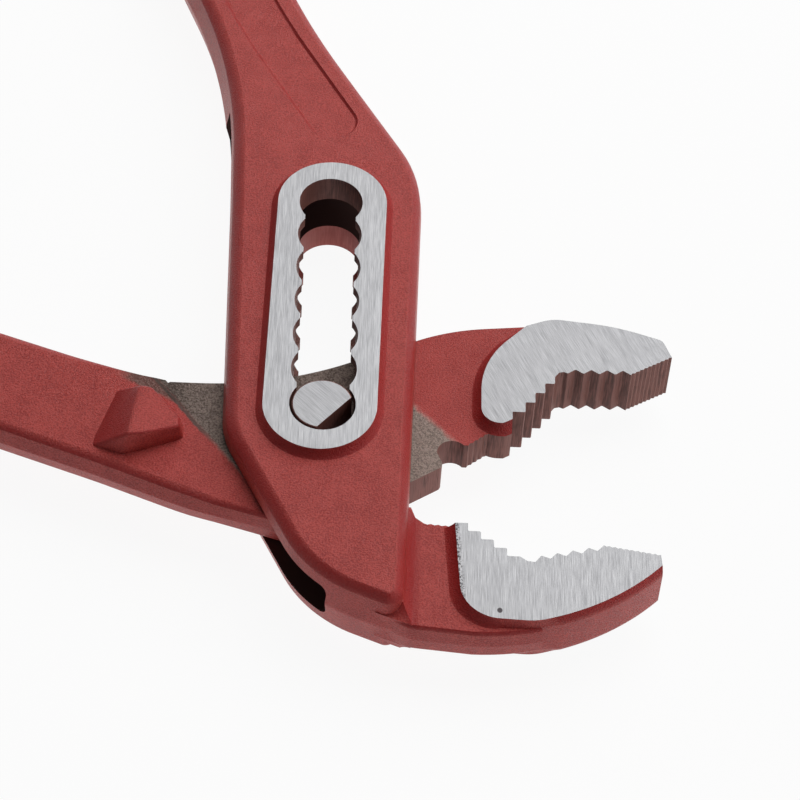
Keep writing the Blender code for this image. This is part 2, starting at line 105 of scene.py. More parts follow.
# Relief of the slot between the seats, inside the cheeks: half width and half height
SLOT_RELIEF = 4.25
SLOT_RELIEF_HALF = 5.5

# Bare panel in the face of the box leg's handle
PANEL_SPINE = ((-0.3, 54.8), (-11.2, 74.8, 150.0), (-31.5, 123.0))
PANEL_RADIUS = 3.7
PANEL_STATIONS = 30
PANEL_LEVELS = (1.0, 1.02, 1.09, 1.5)
PANEL_INSETS = (0.35, 0.2, -0.1, -0.1)

# Teeth
COARSE_TEETH = 4
TOOTH_DEPTH = 0.75
FINE_TEETH = 10
FINE_DEPTH = 0.16
STAIR_STEPS = 4
TOOTH_ROUND = 0.22

# Lower jaw, on the box leg
LOWER_TIP = (45.4, -20.6)
LOWER_TIP_FOOT = (45.6, -22.3)
LOWER_FINE_START = (37.9, -19.4)
LOWER_COARSE_START = (29.6, -21.5)
LOWER_HOLLOW = ((28.8, -22.6), (27.7, -22.45))
LOWER_STAIR_START = (26.8, -21.8)
LOWER_STAIR_STEP = (-1.72, 1.28)
LOWER_PAD_BACK = ((18.2, -16.7), (19.25, -31.6, 5.5), (29.0, -32.0, 8.0), (31.5, -31.2))
LOWER_PAD_DRAFT = 1.4
LOWER_PAD_DRAFT_END = 27.5
LOWER_PAD_DRAFT_FADE = 8.0
LOWER_BELLY = 0.7
LOWER_ARC_CENTRE = (20.9, 1.0)
LOWER_ARC_RADIUS = 33.9
LOWER_WEB_RADIUS = 34.7
LOWER_WEB_ARC = (radians(-90), radians(-75))
LOWER_WEB_SOFT = 0.55
LOWER_WEB_TEETH = ((18.0, -16.35), (14.1, -16.05))
LOWER_WEB_THROAT = ((13.0, -15.2), (12.2, -13.0), (7.0, -13.0))
LOWER_WEB_FOOT = ((7.0, -26.0), (8.0, -30.6), (12.3, -32.95, 5.0), (20.9, -33.7))
LOWER_WEB_INSIDE = ((27.0, -28.0), (22.0, -22.5), (19.2, -17.6))
ROOT_HOLLOW = 1.35
# How far the front of the hollow leans back, on the lower and on the upper face
ROOT_LEAN = (0.42, 2.1)
ROOT_SKIRT = ((8.0, -30.8), (11.5, -32.1), (11.87, -14.4), (8.0, -11.4))

# Upper jaw and neck, on the inner leg
UPPER_TIP = (48.2, 13.4)
UPPER_FINE_START = (42.4, 9.95)
UPPER_COARSE_START = (33.65, 9.75)
UPPER_HOLLOW = ((31.84, 9.0), (32.4, 9.8), (33.1, 10.0))
UPPER_STAIR_END = (31.84, 7.8)
UPPER_STAIR_STEP = (1.37, 1.74)
UPPER_PAD_HEEL = ((21.7, 11.44, 13.0), (21.7, 0.5, 2.6), (24.7, 0.55), (25.95, 1.3))
UPPER_PAD_TOP = ((47.0, 16.4, 1.2), (40.5, 18.6, 30.0), (31.6, 19.55, 6.0), (28.0, 18.1))
UPPER_PAD_DRAFT = 1.2
PAD_BACK_DRAFT = 0.3
UPPER_WEB_TEETH = ((20.0, -2.5), (24.0, 0.7))
RELIEF_CENTRE = (17.85, -3.9)
RELIEF_RADIUS = 2.1
RELIEF_TO = radians(42)
NECK_FOOT = (
    (-27.0, 3.5), (-27.0, -4.5), (-17.0, -11.2), (-6.0, -14.3), (-2.6, -16.4), (1.5, -16.4, 5.0),
    (16.7, -6.2, 0.9))
NECK_TOP = (
    (24.6, 4.0), (30.0, 18.2), (27.8, 19.05), (17.1, 17.8, 30.0), (-6.25, 6.5, 48.0), (-21.0, 6.45),
    (-23.5, 5.0))

# Handle of the inner leg
INNER_ROOT = ((-3.0, -17.1), (-12.6, -6.4, 3.0), (-21.2, 4.4, 2.0), (-21.5, 6.55))
INNER_ROOT_SLOPE_END = -3.5
INNER_ROOT_SLOPE = 3.0
INNER_CRISP_STATIONS = 8
INNER_HANDLE_TOP = ((-21.5, 6.55), (-24.4, 7.4, 14.0), (-105.0, 35.5, 500.0), (-189.0, 66.9))
INNER_HANDLE_FOOT = (
    (-3.0, -17.1), (-17.1, -13.5, 60.0), (-30.1, -8.3, 60.0), (-109.95, 20.8, 500.0), (-194.25, 53.0))
INNER_EDGE = 1.6
INNER_EDGE_CRISP = 0.12
INNER_ROOT_RISE = 0.01

# Finger guard: corners of its foot, inside the handle, and of its top (x, y, height)
GUARD_FOOT_HALF = 2.0
GUARD_FOOT = (
    (-28.7, 4.8), (-23.0, 4.2), (-18.5, -1.5), (-18.5, -3.4), (-23.2, -5.6), (-26.8, -6.9), (-31.8, -5.4))
GUARD_TOP = (
    (-24.85, 2.5, 6.3), (-23.3, 2.6, 6.1), (-19.2, -1.6, 5.1),
    (-19.0, -3.2, 5.0), (-23.2, -5.3, 6.0), (-25.8, -5.9, 6.3))
GUARD_BEVEL = 0.35
GUARD_BEVEL_STEPS = 4
GUARD_FLAT = radians(2)

PIN_ROUND_HALF = 2.6
PIN_FLAT_ANGLE = radians(-40.3)
PIN_CHAMFER = 0.25

# Sorting of faces: normal Z of a flat and of an upright face, slack in millimetres, and where zones end
FLAT_Z = 0.99
UPRIGHT_Z = 0.2
WALL_SLACK = 0.02
FACE_SLACK = 0.05
LOWER_TOOTH_SLACK = 0.12
UPPER_TOOTH_SLACK = 0.25
LOWER_JAW_FROM = 17.0
UPPER_JAW_FROM = 20.0
LUG_FROM = 6.0
LUG_UP_TO = 1.2
POCKET_UP_TO = 13.0
POCKET_END_Y = -0.5
POCKET_SLOPE_UP = 0.1
PAST_SLOT = 15.0

# Normal Z at which the painted shade of a rounded edge starts and is full, from a flat and from an upright
# face
EDGE_FROM_FLAT = (0.97, 0.85)
EDGE_FROM_UPRIGHT = (0.25, 0.5)

# Lines in plan where a finish changes: a point on the line, and the way across it
COAT_END_HANDLE = ((-21.4, 4.6), (0.78, 0.62))
COAT_END_JAW = ((12.9, 3.9), (-0.72, -0.69))
RUBBED_EDGE = ((-21.5, 3.3), (0.5, 1.0))
PITTED_HEEL = ((17.9, 0.0), (1.0, 0.07))

# Line along which shade is painted in the hollow at the root of the lower jaw, and the chip in the lower
# pad
HOLLOW_SHADE_X = 12.95
CHIP = (24.1, -30.55)
CHIP_HALF = (0.36, 0.42)

# Mirroring of the coat, from 0 to 1
COAT_SPECULAR = 0.32

# Patterns, in waves per millimetre
COAT_GRAIN = 4.6
COAT_MOTTLE = 0.33
COAT_SPECK = 1.1
COAT_RAGGED = 0.9
BLAST_GRAIN = 3.6
PIT_GRAIN = 3.6
GRIND_LINES = (13.0, 0.3, 1.0)
GRIND_BANDS = (1.6, 0.09, 1.0)
GRIND_DRAGS = (5.0, 0.7, 1.0)
FLANK_STREAKS = (5.0, 5.0, 0.3)
FLANK_CLOUD = 0.6

# Heights in millimetres that the patterns stand up by
COAT_RELIEF = 0.16
NECK_RELIEF = 0.27
GRIND_RELIEF = 0.018
FLANK_RELIEF = 0.05

# Grinding direction from Y, and share of the ground steel's brightness
GRIND_BOSS = (0.0, 1.0)
GRIND_PAD = (0.0, 0.955)
GRIND_JAW = (radians(26), 0.91)
GRIND_PIN = (radians(45), 0.915)

# Studio in metres: place, aim, width and height of the soft boxes, and the floor
KEY_BOX = ((0.85, 1.15, 1.0), (0.85, 1.15, 0.0), 2.1, 2.0)
RIM_BOX = ((1.5, -0.1, 0.35), (0.0, 0.0, 0.0), 0.9, 0.5)
FLOOR_REACH = 3.0
FLOOR_DROP = 2e-4
FLOOR_WHITE = 0.7
FLOOR_WHITE_SEEN = 0.23
SENSOR_WIDTH = 36.0
CLIP_START = 0.01


def length(label, note, metres):
    return FloatProperty(name=label, description=note, default=metres, unit='LENGTH', precision=5)


def angle(label, note, degrees):
    return FloatProperty(name=label, description=note, default=radians(degrees), subtype='ANGLE')


def number(label, note, value, unit='NONE'):
    return FloatProperty(name=label, description=note, default=value, unit=unit)


def colour(label, note, value):
    return FloatVectorProperty(
        name=label, description=note, default=value, subtype='COLOR', size=3, min=0.0, max=1.0)


class PliersSizes(bpy.types.PropertyGroup):
    """Thicknesses and joint sizes; half thicknesses are from the middle plane."""
    boss_half: length("Boss", "Half thickness over the ground boss", 0.0071)
    cheek_half: length("Cheek", "Half thickness of the box", 0.0058)
    pocket_half: length("Pocket", "Half height of the pocket between the cheeks", 0.0029)
    neck_half: length("Neck", "Half thickness of the neck", 0.00245)
    pad_half: length("Pad", "Half thickness of the ground jaw pads", 0.0039)
    recess_half: length("Recess", "Half thickness of the jaw root beside the box", 0.0026)
    box_handle_half: length("Box handle", "Half thickness at the end of the box leg's handle", 0.0034)
    inner_handle_half: length("Inner handle", "Half thickness at the end of the inner handle", 0.0032)
    inner_root_half: length("Inner root", "Half thickness of the inner handle beside the box", 0.00272)
    pin_radius: length("Pin radius", "Radius of the pivot pin", 0.0042)
    pin_flat: length("Pin flat", "Distance of the pin's flat from its axis", 0.0021)
    fit: length("Fit", "Play round the pin in its seat", 0.0003)
    slot_pitch: length("Slot pitch", "Distance between two seats of the slot", 0.00617)
    slot_neck_half: length("Slot neck", "Half width of the slot between two seats", 0.0036)
    slot_positions: IntProperty(name="Seats", description="Seats of the slot", default=7, min=2)
    boss_radius: length("Boss radius", "Radius of the boss ends round the slot", 0.00775)
    boss_skirt: length("Boss skirt", "Width of the hollow at the foot of the boss", 0.00095)
    panel_depth: length("Panel depth", "Depth of the bare panel in the handle", 0.00035)


class PliersColours(bpy.types.PropertyGroup):
    """Base colours of the finishes."""
    coat: colour("Coat", "Rough red powder coat", (0.58, 0.077, 0.064))
    coat_deep: colour("Coat, deep", "Coat in the pits of its grain", (0.36, 0.028, 0.024))
    # Painted shade: a darker red that the coat is given on its rounded edges and in the hollow at the jaw's
    # root
    coat_edge_shade: colour("Coat, edges", "Thick glossy coat along the rounded edges", (0.36, 0.012, 0.012))
    ground: colour("Ground steel", "Bright ground faces", (0.365, 0.365, 0.374))
    ground_dark: colour("Ground steel, dark", "Grinding marks", (0.28, 0.28, 0.289))
    pit: colour("Pits", "Pits and a chip in the ground steel", (0.035, 0.028, 0.031))
    bare: colour("Bare steel", "Blasted steel of the neck", (0.38, 0.298, 0.257))
    bare_dark: colour("Bare steel, dark", "Pits of the blasted steel", (0.08, 0.058, 0.048))
    flank: colour("Tooth flank", "Broached and tempered sides of the teeth", (0.275, 0.106, 0.083))
    flank_dark: colour("Tooth flank, dark", "Streaks down the teeth", (0.105, 0.044, 0.036))
    pocket: colour("Pocket", "Unfinished walls between the cheeks", (0.09, 0.045, 0.04))
    floor: colour("Floor", "Studio floor", (0.93, 0.93, 0.93))


class PliersStudio(bpy.types.PropertyGroup):
    """Camera and light."""
    tilt: angle("Tilt", "Camera axis from the plumb line", 39.11)
    yaw: angle("Yaw", "Camera turned about the plumb line", -2.19)
    roll: angle("Roll", "Camera turned about its axis", 4.12)
    distance: length("Distance", "Camera to the point that it looks at", 0.41465)
    target: FloatVectorProperty(
        name="Target", description="Point that the camera looks at", default=(0.01067, 0.00695, 0.0071),
        subtype='TRANSLATION')
    lens: number("Lens", "Focal length in millimetres", 135.0, 'CAMERA')
    key_power: number("Key", "Power of the overhead soft box in watts", 35.0, 'POWER')
    rim_power: number("Rim", "Power of the low soft box on the right in watts", 2.5, 'POWER')
    sky: number("Sky", "Strength of the grey surroundings", 0.05)
    sky_mirrored: number("Sky, mirrored", "What the surroundings add in mirrored rays", 0.3)


def sizes():
    """The sizes in millimetres, with the top of the slot worked out."""
    group = bpy.context.scene.pliers_sizes
    values = {key: getattr(group, key) / MM for key in group.__annotations__ if key != 'slot_positions'}
    values['slot_positions'] = group.slot_positions
    values['slot_top'] = (group.slot_positions - 1) * values['slot_pitch']
    values['seat'] = values['pin_radius'] + values['fit']
    return SimpleNamespace(**values)


def unit(vector):
    return vector / np.linalg.norm(vector)


def arc(centre, radius, start, end):
    """centre + radius (cos a, sin a), with a running evenly from start to end."""
    step = 2 * acos(1 - ARC_SAG / radius)
    angles = np.linspace(start, end, max(2, ceil(abs(end - start) / step)) + 1)
    return np.column_stack((centre[0] + radius * np.cos(angles), centre[1] + radius * np.sin(angles)))


def circle(radius):
    """A full circle about the pin's axis."""
    return arc((0.0, 0.0), radius, 0.0, 2 * pi)[:-1]


def rounded(corners):
    """A path through corners (x, y) or (x, y, radius); a radius gives the arc tangent to both sides."""
    path = []
    for i, corner in enumerate(corners):
        here = np.array(corner[:2])
        if len(corner) < 3:
            path.append(here[None])
            continue
        before = unit(np.array(corners[i - 1][:2]) - here)
        after = unit(np.array(corners[i + 1][:2]) - here)
        turn = pi - acos(before @ after)
        centre = here + unit(before + after) * corner[2] / cos(turn / 2)
        first = here + before * corner[2] * tan(turn / 2) - centre
        start = np.arctan2(first[1], first[0])
        side = np.sign(after[0] * before[1] - after[1] * before[0])
        path.append(arc(centre, corner[2], start, start + side * turn))
    return np.vstack(path)


def stations(path, count):
    """Evenly spaced points along a path, by its length."""
    run = np.concatenate(([0.0], np.cumsum(np.linalg.norm(np.diff(path, axis=0), axis=1))))
    at = np.linspace(0.0, run[-1], count)
    return np.column_stack((np.interp(at, run, path[:, 0]), np.interp(at, run, path[:, 1])))


def zigzag(start, end, teeth, depth):
    """Points after start, up to end: triangular teeth whose valleys go in to the left of the way."""
    start, way = np.array(start), (np.array(end) - start) / teeth
    left = unit(np.array((-way[1], way[0]))) * depth
    at = np.arange(1, 2 * teeth + 1)[:, None] / 2
    return start + way * at + left * (at % 1 > 0)


def stair(start, step, steps, rise_first):
    """Square steps from start: each goes along one axis, then along the other."""
    tips = np.array(start) + np.arange(steps + 1)[:, None] * np.array(step)
    x, y = (tips[:-1, 0], tips[1:, 1]) if rise_first else (tips[1:, 0], tips[:-1, 1])
    return np.stack((np.column_stack((x, y)), tips[1:]), axis=1).reshape(-1, 2)


def eased(path, radius):
    """An open path with each of its inner corners rounded."""
    inner = np.column_stack((path[1:-1], np.full(len(path) - 2, radius)))
    return rounded([path[0], *inner, path[-1]])


def round_end(first, last):
    """The half circle between the ends of two edges, without its end points."""
    centre, spoke = (first + last) / 2, (first - last) / 2
    start = np.arctan2(spoke[1], spoke[0])
    return arc(centre, np.linalg.norm(spoke), start, start + pi)[1:-1]


def drawn_in(outline, insets):
    """Moves of the points when side i, from point i to the next, goes into the material by insets[..., i].

    At a corner the move meets both moved sides; along a smooth run it is the mean normal.
    """
    along = np.roll(outline, -1, axis=0) - outline
    along /= np.linalg.norm(along, axis=1)[:, None]
    after = np.column_stack((-along[:, 1], along[:, 0]))
    before = np.roll(after, 1, axis=0)
    after_in, before_in = insets[..., None], np.roll(insets, 1, axis=-1)[..., None]
    cross = (before[:, 0] * after[:, 1] - before[:, 1] * after[:, 0])[:, None]
    straight = np.abs(cross) < CORNER_SINE
    corner = before_in * after[:, ::-1] * (1, -1) - after_in * before[:, ::-1] * (1, -1)
    smooth = (before + after) * (before_in + after_in) / 4
    return np.where(straight, smooth, corner / np.where(straight, 1.0, cross))


def mirrored(heights, insets):
    """The upper half of a side, given from the middle up, with its mirror image below."""
    return np.concatenate((-heights[::-1], heights)), np.concatenate((insets[::-1], insets))[:, None]


def forged_side():
    """Heights and insets of a forging's side, both from 0 to 1.

    A land, then draft, then a bevel of height sin^p a and inset 1 - cos^p a.
    """
    swing = np.linspace(0.0, pi / 2, EDGE_STEPS + 1)
    bevel_heights = EDGE_SHOULDER + (1 - EDGE_SHOULDER) * np.sin(swing) ** EDGE_POWER
    heights = np.concatenate(([EDGE_LAND], bevel_heights))
    bevel = np.concatenate(([0.0], 1 - np.cos(swing) ** EDGE_POWER))
    draft = (heights - EDGE_LAND) / (1 - EDGE_LAND)
    return mirrored(heights, EDGE_DRAFT * draft + (1 - EDGE_DRAFT) * bevel)


def hollow_side(foot, top):
    """A wall from foot up to top that spreads towards its foot: height 1 - sin^p a, outset 1 - cos^p a."""
    swing = np.linspace(SKIRT_SWING, 0.0, SKIRT_STEPS + 1)
    rise = 1 - np.sin(swing) ** SKIRT_POWER
    heights = np.concatenate(([foot * SKIRT_SUNK], foot + (top - foot) * rise))
    spread = 1 - np.cos(swing) ** SKIRT_POWER
    return mirrored(heights, -np.concatenate((spread[:1], spread)))


def round_side(half, radius):
    """An upright wall up to half, with a quarter circle of the given radius at each face."""
    swing = np.linspace(0.0, pi / 2, EDGE_STEPS + 1)
    return mirrored(half - radius * (1 - np.sin(swing)), radius * (1 - np.cos(swing)))


def solid(name, points, faces):
    """A mesh object from points in millimetres about the middle plane."""
    lift = bpy.context.scene.pliers_sizes.boss_half
    mesh = bpy.data.meshes.new(name)
    mesh.from_pydata((points * MM + (0.0, 0.0, lift)).tolist(), [], faces)
    thing = bpy.data.objects.new(name, mesh)
    bpy.context.scene.collection.objects.link(thing)
    return thing


def skin(name, rings, loops=None):
    """A solid whose side runs through closed rings (rings by points by 3), closed at both ends by loops."""
    levels, count = rings.shape[:2]
    ring, after = np.arange(count), np.roll(np.arange(count), -1)
    low = (np.arange(levels - 1) * count)[:, None]
    sides = np.stack((low + ring, low + after, low + count + after, low + count + ring), axis=2)
    loops, top = loops or [ring.tolist()], (levels - 1) * count
    ends = [[top + i for i in loop] for loop in loops] + [loop[::-1] for loop in loops]
    return solid(name, rings.reshape(-1, 3), sides.reshape(-1, 4).tolist() + ends)


def stack(name, outline, heights, insets=0.0, half=1.0, loops=None):
    """A solid of one outline at several heights, its sides drawn in by insets (heights by sides).

    point(k, i) = outline(i) moved in by insets(k), at the height heights(k) half(i).
    """
    heights, count = np.asarray(heights, float), len(outline)
    plan = outline + drawn_in(outline, np.broadcast_to(insets, (len(heights), count)).astype(float))
    z = heights[:, None] * np.broadcast_to(half, count)
    return skin(name, np.concatenate((plan, z[..., None]), axis=2), loops)


def strip_loops(root, edge, end):
    """Loops that split a leg's face: its root, a strip between each two stations, its round end."""
    last = root + 2 * edge + end - 1
    loops = [list(range(root)) + [root, last]]
    loops += [[root + i, root + i + 1, last - i - 1, last - i] for i in range(edge - 1)]
    return loops + [[root + edge - 1 + i for i in range(end + 2)]]


def leg_outline(root, edge_out, edge_back):
    """A leg's outline, counter-clockwise: root, out along one edge, round the end, back along the other."""
    out = stations(rounded(edge_out), HANDLE_STATIONS)
    back = stations(rounded(edge_back), HANDLE_STATIONS)
    end = round_end(out[-1], back[-1])
    root = rounded(root)[1:-1]
    return np.vstack((root, out, end, back[::-1])), strip_loops(len(root), HANDLE_STATIONS, len(end))


def forge(piece, joins, cuts):
    """Join solids to the piece, cut others away, and keep the result as the piece's own mesh."""
    for others, operation in ((joins, 'UNION'), (cuts, 'DIFFERENCE')):
        for other in others:
            modifier = piece.modifiers.new(other.name, 'BOOLEAN')
            modifier.operation, modifier.object, modifier.solver = operation, other, 'EXACT'
    shape = bpy.data.meshes.new_from_object(piece.evaluated_get(bpy.context.evaluated_depsgraph_get()))
    if not shape.polygons:
        raise RuntimeError(f"{piece.name} came out empty")
    piece.modifiers.clear()
    piece.data = shape
    for other in list(joins) + list(cuts):
        bpy.data.objects.remove(other)
    form = bmesh.new()
    form.from_mesh(shape)
    bmesh.ops.remove_doubles(form, verts=form.verts, dist=WELD)
    bmesh.ops.dissolve_degenerate(form, edges=form.edges, dist=WELD)
    form.to_mesh(shape)
    form.free()
    return piece


def faces_of(piece):
    """Centres in millimetres about the middle plane, and normals, of a piece's faces."""
    count = len(piece.data.polygons)
    centres, normals = np.empty(count * 3), np.empty(count * 3)
    piece.data.polygons.foreach_get('center', centres)
    piece.data.polygons.foreach_get('normal', normals)
    centres = centres.reshape(-1, 3) / MM
    centres[:, 2] -= bpy.context.scene.pliers_sizes.boss_half / MM
    return centres, normals.reshape(-1, 3)


def off_path(points, path):
    """Distance in plan from each point to the nearest side of an open path."""
    start, way = path[:-1], np.diff(path, axis=0)
    to = points[:, None, :2] - start[None]
    along = np.clip((to * way).sum(2) / (way ** 2).sum(1), 0.0, 1.0)
    return np.linalg.norm(to - along[..., None] * way, axis=2).min(1)


def share(value, start, full):
    """0 up to start, 1 from full on, and even between."""
    return np.clip((value - start) / (full - start), 0.0, 1.0)


def dress(piece, node, body, finishes, slots):
    """Give a piece its finishes, face by face, smooth it, and let it stand for its node.

    The attribute slope is 1 on faces between level and upright, and 0 on level and upright faces.
    The attribute facing runs from 0 on faces that look along -X to 1 on faces that look along +X.
    """
    normals = faces_of(piece)[1]
    level = np.abs(normals[:, 2])
    slope = share(level, *EDGE_FROM_FLAT) * share(level, *EDGE_FROM_UPRIGHT)
    for name, values in (('slope', slope), ('facing', normals[:, 0] / 2 + 0.5)):
        piece.data.attributes.new(name, 'FLOAT', 'FACE').data.foreach_set('value', values)
    for finish in finishes:
        piece.data.materials.append(finish)
    piece.data.polygons.foreach_set('material_index', slots.astype(np.int32))
    piece.data.shade_smooth()
    piece.data.set_sharp_from_angle(angle=CRISP_EDGE)
    even = piece.modifiers.new('even_normals', 'WEIGHTED_NORMAL')
    even.keep_sharp = True
    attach(piece, body)
    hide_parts(node)


class Wire:
    """A shader socket; sums on it add Math nodes to its tree."""

    def __init__(self, graph, socket):
        self.graph, self.socket = graph, socket

    def math(self, operation, first, second):
        return self.graph.node('ShaderNodeMath', {'operation': operation}, {0: first, 1: second})

    def __add__(self, other):
        return self.math('ADD', self, other)

    def __radd__(self, other):
        return self.math('ADD', other, self)

    def __sub__(self, other):
        return self.math('SUBTRACT', self, other)

    def __rsub__(self, other):
        return self.math('SUBTRACT', other, self)

    def __mul__(self, other):
        return self.math('MULTIPLY', self, other)

    def __truediv__(self, other):
        return self.math('DIVIDE', self, other)

    def __abs__(self):
        return self.math('ABSOLUTE', self, 0.0)

    def most(self, other):
        return self.math('MAXIMUM', self, other)


class Graph:
    """A node tree, to which every node is added by one call."""

    def __init__(self, tree):
        self.tree = tree

    def node(self, kind, settings=None, inputs=None, output=0):
        """Add a node, with its settings first and then the values or links of its sockets."""
        node = self.tree.nodes.new(kind)
        for key, value in (settings or {}).items():
            setattr(node, key, value)
        for key, value in (inputs or {}).items():
            self.put(value, node.inputs[key])
        return Wire(self, node.outputs[output])

    def put(self, value, socket):
        """Lead a wire into a socket, or write a plain value there."""
        if isinstance(value, Wire):
            self.tree.links.new(value.socket, socket)
        else:
            socket.default_value = value

    def ray(self, kind):
        """1 on rays of one kind, else 0."""
        return self.node('ShaderNodeLightPath', output=f'Is {kind} Ray')

    def link(self, wire, node, socket):
        """Lead a wire into a node that the tree already has."""
        self.put(wire, self.tree.nodes[node].inputs[socket])


class Finish(Graph):
    """A material, with the few calls that the finishes need."""

    def __init__(self, name, metallic=0.0, specular=0.5):
        self.material = bpy.data.materials.new(name)
        self.material.use_nodes = True
        super().__init__(self.material.node_tree)
        self.hues = bpy.context.scene.pliers_colours
        self.shader = self.tree.nodes['Principled BSDF']
        self.shader.inputs['Metallic'].default_value = metallic
        self.shader.inputs['Specular IOR Level'].default_value = specular
        self.object = self.node('ShaderNodeTexCoord', output='Object')

    def place(self, scale=1.0, turn=0.0):
        """Object coordinates in millimetres, turned about Z, then stretched by one number or by three."""
        turned = self.node('ShaderNodeMapping', None, {
            'Vector': self.object, 'Rotation': (0.0, 0.0, -turn), 'Scale': (1 / MM, 1 / MM, 1 / MM)})
        stretch = np.broadcast_to(scale, 3).tolist()
        return self.node('ShaderNodeVectorMath', {'operation': 'MULTIPLY'}, {0: turned, 1: stretch})

    def xyz(self):
        """The three Object coordinates in millimetres."""
        place = self.place()
        return [self.node('ShaderNodeSeparateXYZ', None, {0: place}, axis) for axis in range(3)]

    def noise(self, scale, turn=0.0, detail=2.0, rough=0.5):
        """Cloudy noise about 0.5, with scale waves per millimetre."""
        return self.node('ShaderNodeTexNoise', None, {
            'Vector': self.place(scale, turn), 'Scale': 1.0, 'Detail': detail, 'Roughness': rough}, 'Fac')

    def attribute(self, name):
        """A number that the faces carry."""
        return self.node('ShaderNodeAttribute', {'attribute_name': name}, output='Fac')

    def ramp(self, value, low, high):
        """0 below low, 1 above high, with a soft passage between."""
        return self.node('ShaderNodeMapRange', {'interpolation_type': 'SMOOTHSTEP'}, {
            'Value': value, 'From Min': low, 'From Max': high})

    def mix(self, amount, first, second):
        """The first colour, with an amount of the second in it."""
        def tone(value):
            return value if isinstance(value, Wire) else (*value, 1.0)
        return self.node(
            'ShaderNodeMix', {'data_type': 'RGBA'}, {0: amount, 6: tone(first), 7: tone(second)}, 2)

    def bump(self, height, distance):
        """Normals of a relief whose heights from 0 to 1 stand up by distance millimetres."""
        return self.node('ShaderNodeBump', None, {'Height': height, 'Distance': distance * MM})

    def feed(self, **sockets):
        """Lead values into the shader's sockets, named in lower case, and give the material."""
        for name, value in sockets.items():
            self.put(value, self.shader.inputs[name.replace('_', ' ').title()])
        return self.material


def across(x, y, line):
    """Distance from a line in plan, given as a point on it and the way across it."""
    (from_x, from_y), (way_x, way_y) = line
    return (x - from_x) * way_x + (y - from_y) * way_y


def coat_parts(finish):
    """Colour, roughness and height of the powder coat: fine sand over a slow mottle, with painted shade on
    the rounded edges.
    """
    hues = finish.hues
    grain = finish.noise(COAT_GRAIN, detail=3.0, rough=0.6)
    mottle = finish.noise(COAT_MOTTLE)
    speck = finish.ramp(finish.noise(COAT_SPECK, detail=1.0), 0.74, 0.8)
    tone = finish.mix(finish.ramp(grain * 0.8 + mottle * 0.2, 0.34, 0.62), hues.coat_deep, hues.coat)
    tone = finish.mix(speck * 0.5, tone, hues.coat_deep)
    # Painted shade on the rounded edges, by the slope of each face
    tone = finish.mix(finish.attribute('slope') * 0.7, tone, hues.coat_edge_shade)
    return tone, 0.26 + grain * 0.16, grain


def red_coat(name):
    """Rough red powder coat, with a band of painted shade in the hollow at the root of the lower jaw."""
    finish = Finish(name, specular=COAT_SPECULAR)
    tone, rough, grain = coat_parts(finish)
    x, y, _ = finish.xyz()
    along = finish.ramp(y, -33.3, -32.3) * finish.ramp(y, -13.5, -15.5)
    # Painted shade: a dark band down the hollow between the box and the lower jaw's web
    hollow_shade = finish.ramp(abs(x - HOLLOW_SHADE_X), 1.1, 0.2) * along
    tone = finish.mix(hollow_shade * 0.7, tone, finish.hues.coat_edge_shade)
    return finish.feed(base_color=tone, roughness=rough, normal=finish.bump(grain, COAT_RELIEF))


def neck_coat(name):
    """Red coat that stops, in a soft overspray, at the bare blasted neck, which has painted light and shade
    and a painted dark line along the coat's step.
    """
    finish = Finish(name, specular=COAT_SPECULAR)
    hues = finish.hues
    tone, rough, grain = coat_parts(finish)
    x, y, _ = finish.xyz()
    ragged = (finish.noise(COAT_RAGGED, detail=3.0, rough=0.65) - 0.5) * 1.6
    from_handle = across(x, y, COAT_END_HANDLE) + ragged * 0.35
    from_jaw = across(x, y, COAT_END_JAW) + ragged * 0.6
    rubbed = finish.ramp(across(x, y, RUBBED_EDGE) + ragged * 0.4, -0.2, 0.6)
    rubbed = rubbed * finish.ramp(x, -29.5, -25.5) * finish.ramp(x, 0.0, -1.0)
    bare = finish.ramp(from_handle, -0.3, 0.5) * finish.ramp(from_jaw, -0.5, 0.9)
    bare = bare.most(rubbed * 0.85)
    # Painted shade: a dark line along the step where the coat ends, in place of the crease's shadow
    step_shade = finish.ramp(abs(from_handle), 0.4, 0.12) * finish.ramp(y, -5.0, -1.0)
    blast = finish.noise(BLAST_GRAIN, detail=3.0, rough=0.7)
    # Painted light and shade on the bare neck: lighter towards the jaw, darker towards the handle
    lit = finish.ramp(x, 6.0, 15.0) * 0.36 - finish.ramp(x, -17.0, -21.0) * 0.3
    steel = finish.mix(finish.ramp(blast, 0.36, 0.62) * 0.6 + lit + 0.06, hues.bare_dark, hues.bare)
    worn_and_shaded = finish.mix(step_shade * 0.9, finish.mix(bare, tone, steel), hues.bare_dark)
    height = grain * (1 - bare) * 0.7 + blast * bare
    return finish.feed(
        base_color=worn_and_shaded, roughness=rough * (1 - bare) + bare * 0.5, metallic=bare * 0.55,
        normal=finish.bump(height, NECK_RELIEF))


